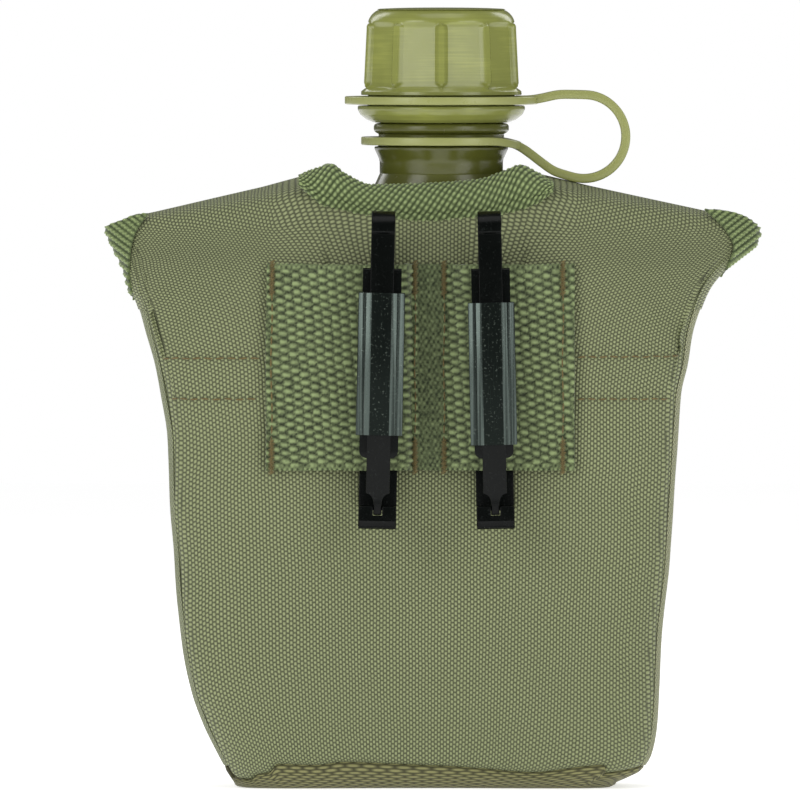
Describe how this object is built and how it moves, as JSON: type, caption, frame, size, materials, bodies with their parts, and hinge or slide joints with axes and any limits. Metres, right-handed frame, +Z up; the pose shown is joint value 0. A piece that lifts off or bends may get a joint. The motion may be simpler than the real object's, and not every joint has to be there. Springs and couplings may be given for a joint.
{
  "type": "canteen",
  "caption": "Plastic water canteen with ribbed screw cap and retaining strap, in a nylon belt cover with snap flaps, tablet pocket and steel slide-keeper belt clips",
  "frame": {"origin": "on the flat bottom of the cover, under the axis of the bottle's neck", "axes": "+Z up along the neck, -Y toward the wearer's belt (the clips), +Y toward the flaps and pocket, +X to the right seen from the belt side"},
  "size_m": [0.1834, 0.0979, 0.2184],
  "materials": {
    "bottle_plastic": "olive drab blow-moulded polyethylene",
    "cap_plastic": "lighter olive moulded plastic",
    "gasket_rubber": "black rubber seal",
    "cover_nylon": "olive green nylon cloth with a fine plain weave",
    "gusset_nylon": "the same cloth, paler along the side",
    "bottom_nylon": "browner olive nylon cloth",
    "pile_fabric": "tan synthetic pile",
    "binding_tape": "green herringbone tape",
    "webbing": "coarse green webbing",
    "snap_metal": "black enamelled brass",
    "hook_loop": "green hook-and-loop tape",
    "clip_steel": "satin black phosphated steel",
    "sleeve_steel": "smooth black enamelled steel"
  },
  "bodies": {
    "root": {"bottle_body": "bottle_plastic", "back_panel": "cover_nylon", "front_panel": "cover_nylon", "left_gusset": "gusset_nylon", "right_gusset": "gusset_nylon", "bottom_panel": "bottom_nylon", "pile_lining": "pile_fabric", "left_shoulder": "cover_nylon", "right_shoulder": "cover_nylon", "neck_binding": "binding_tape", "left_shoulder_binding": "binding_tape", "right_shoulder_binding": "binding_tape", "left_tip_binding": "binding_tape", "right_tip_binding": "binding_tape", "front_binding": "binding_tape", "left_snap_stud": "snap_metal", "right_snap_stud": "snap_metal", "belt_webbing": "webbing", "tablet_pocket": "cover_nylon", "pocket_loop_strip": "hook_loop", "drain_eyelet": "snap_metal"},
    "neck_ring": {"neck_ring": "bottle_plastic", "strap_band": "cap_plastic"},
    "cap_ring": {"cap_ring": "cap_plastic"},
    "gasket": {"cap_gasket": "gasket_rubber"},
    "cap": {"cap": "cap_plastic"},
    "left_flap": {"left_flap": "cover_nylon", "left_flap_binding": "binding_tape", "left_snap_cap": "snap_metal"},
    "right_flap": {"right_flap": "cover_nylon", "right_flap_binding": "binding_tape", "right_snap_cap": "snap_metal"},
    "pocket_flap": {"pocket_flap": "cover_nylon", "pocket_hook_strip": "hook_loop"},
    "left_clip": {"left_clip_leg": "clip_steel"},
    "left_strip": {"left_clip_strip": "clip_steel", "left_clip_plate": "clip_steel"},
    "left_sleeve": {"left_clip_sleeve": "sleeve_steel"},
    "right_clip": {"right_clip_leg": "clip_steel"},
    "right_strip": {"right_clip_strip": "clip_steel", "right_clip_plate": "clip_steel"},
    "right_sleeve": {"right_clip_sleeve": "sleeve_steel"}
  },
  "joints": [
    {"name": "strap_swivel", "type": "hinge", "parent": "root", "child": "neck_ring", "pos_m": [0, 0, 0.181], "axis": [0, 0, 1], "range_deg": [-120, 120]},
    {"name": "strap_lift", "type": "slide", "parent": "neck_ring", "child": "cap_ring", "axis": [0, 0, 1], "range_m": [0, 0.0361], "deforming": ["strap_band"]},
    {"name": "cap_lift", "type": "slide", "parent": "root", "child": "gasket", "axis": [0, 0, 1], "range_m": [0, 0.0361]},
    {"name": "cap_turn", "type": "hinge", "parent": "gasket", "child": "cap", "pos_m": [0, 0, 0.2], "axis": [0, 0, 1], "range_deg": [0, 2160]},
    {"name": "right_flap_fold", "type": "hinge", "parent": "root", "child": "right_flap", "pos_m": [0.0245, 0.0242, 0.16447], "axis": [0.9285, -0.3545, -0.1106], "range_deg": [0, 150]},
    {"name": "left_flap_fold", "type": "hinge", "parent": "root", "child": "left_flap", "pos_m": [-0.0335, 0.0242, 0.16447], "axis": [0.9285, 0.3545, 0.1106], "range_deg": [0, 150]},
    {"name": "pocket_flap_fold", "type": "hinge", "parent": "root", "child": "pocket_flap", "pos_m": [-0.0045, 0.0366, 0.103], "axis": [1, 0, 0], "range_deg": [0, 75]},
    {"name": "left_clip_shift", "type": "slide", "parent": "root", "child": "left_clip", "axis": [0.0209, 0, 0.9998], "range_m": [-0.008, 0.007]},
    {"name": "left_strip_open", "type": "hinge", "parent": "left_clip", "child": "left_strip", "pos_m": [-0.01628, -0.0449, 0.15599], "axis": [-0.9998, 0, 0.0209], "range_deg": [0, 25], "stiffness_Nm_per_rad": 0.15},
    {"name": "left_sleeve_slide", "type": "slide", "parent": "left_strip", "child": "left_sleeve", "axis": [0.0209, 0, 0.9998], "range_m": [-0.005, 0.004]},
    {"name": "right_clip_shift", "type": "slide", "parent": "root", "child": "right_clip", "axis": [-0.0209, 0, 0.9998], "range_m": [-0.008, 0.007]},
    {"name": "right_strip_open", "type": "hinge", "parent": "right_clip", "child": "right_strip", "pos_m": [0.01338, -0.0449, 0.15599], "axis": [-0.9998, 0, -0.0209], "range_deg": [0, 25], "stiffness_Nm_per_rad": 0.15},
    {"name": "right_sleeve_slide", "type": "slide", "parent": "right_strip", "child": "right_sleeve", "axis": [-0.0209, 0, 0.9998], "range_m": [-0.003, 0.006]}
  ],
  "couplings": [
    {"joint": "cap_lift", "follows": "cap_turn", "m_per_rad": 0.00095493},
    {"joint": "strap_lift", "follows": "cap_turn", "m_per_rad": 0.00095493}
  ]
}
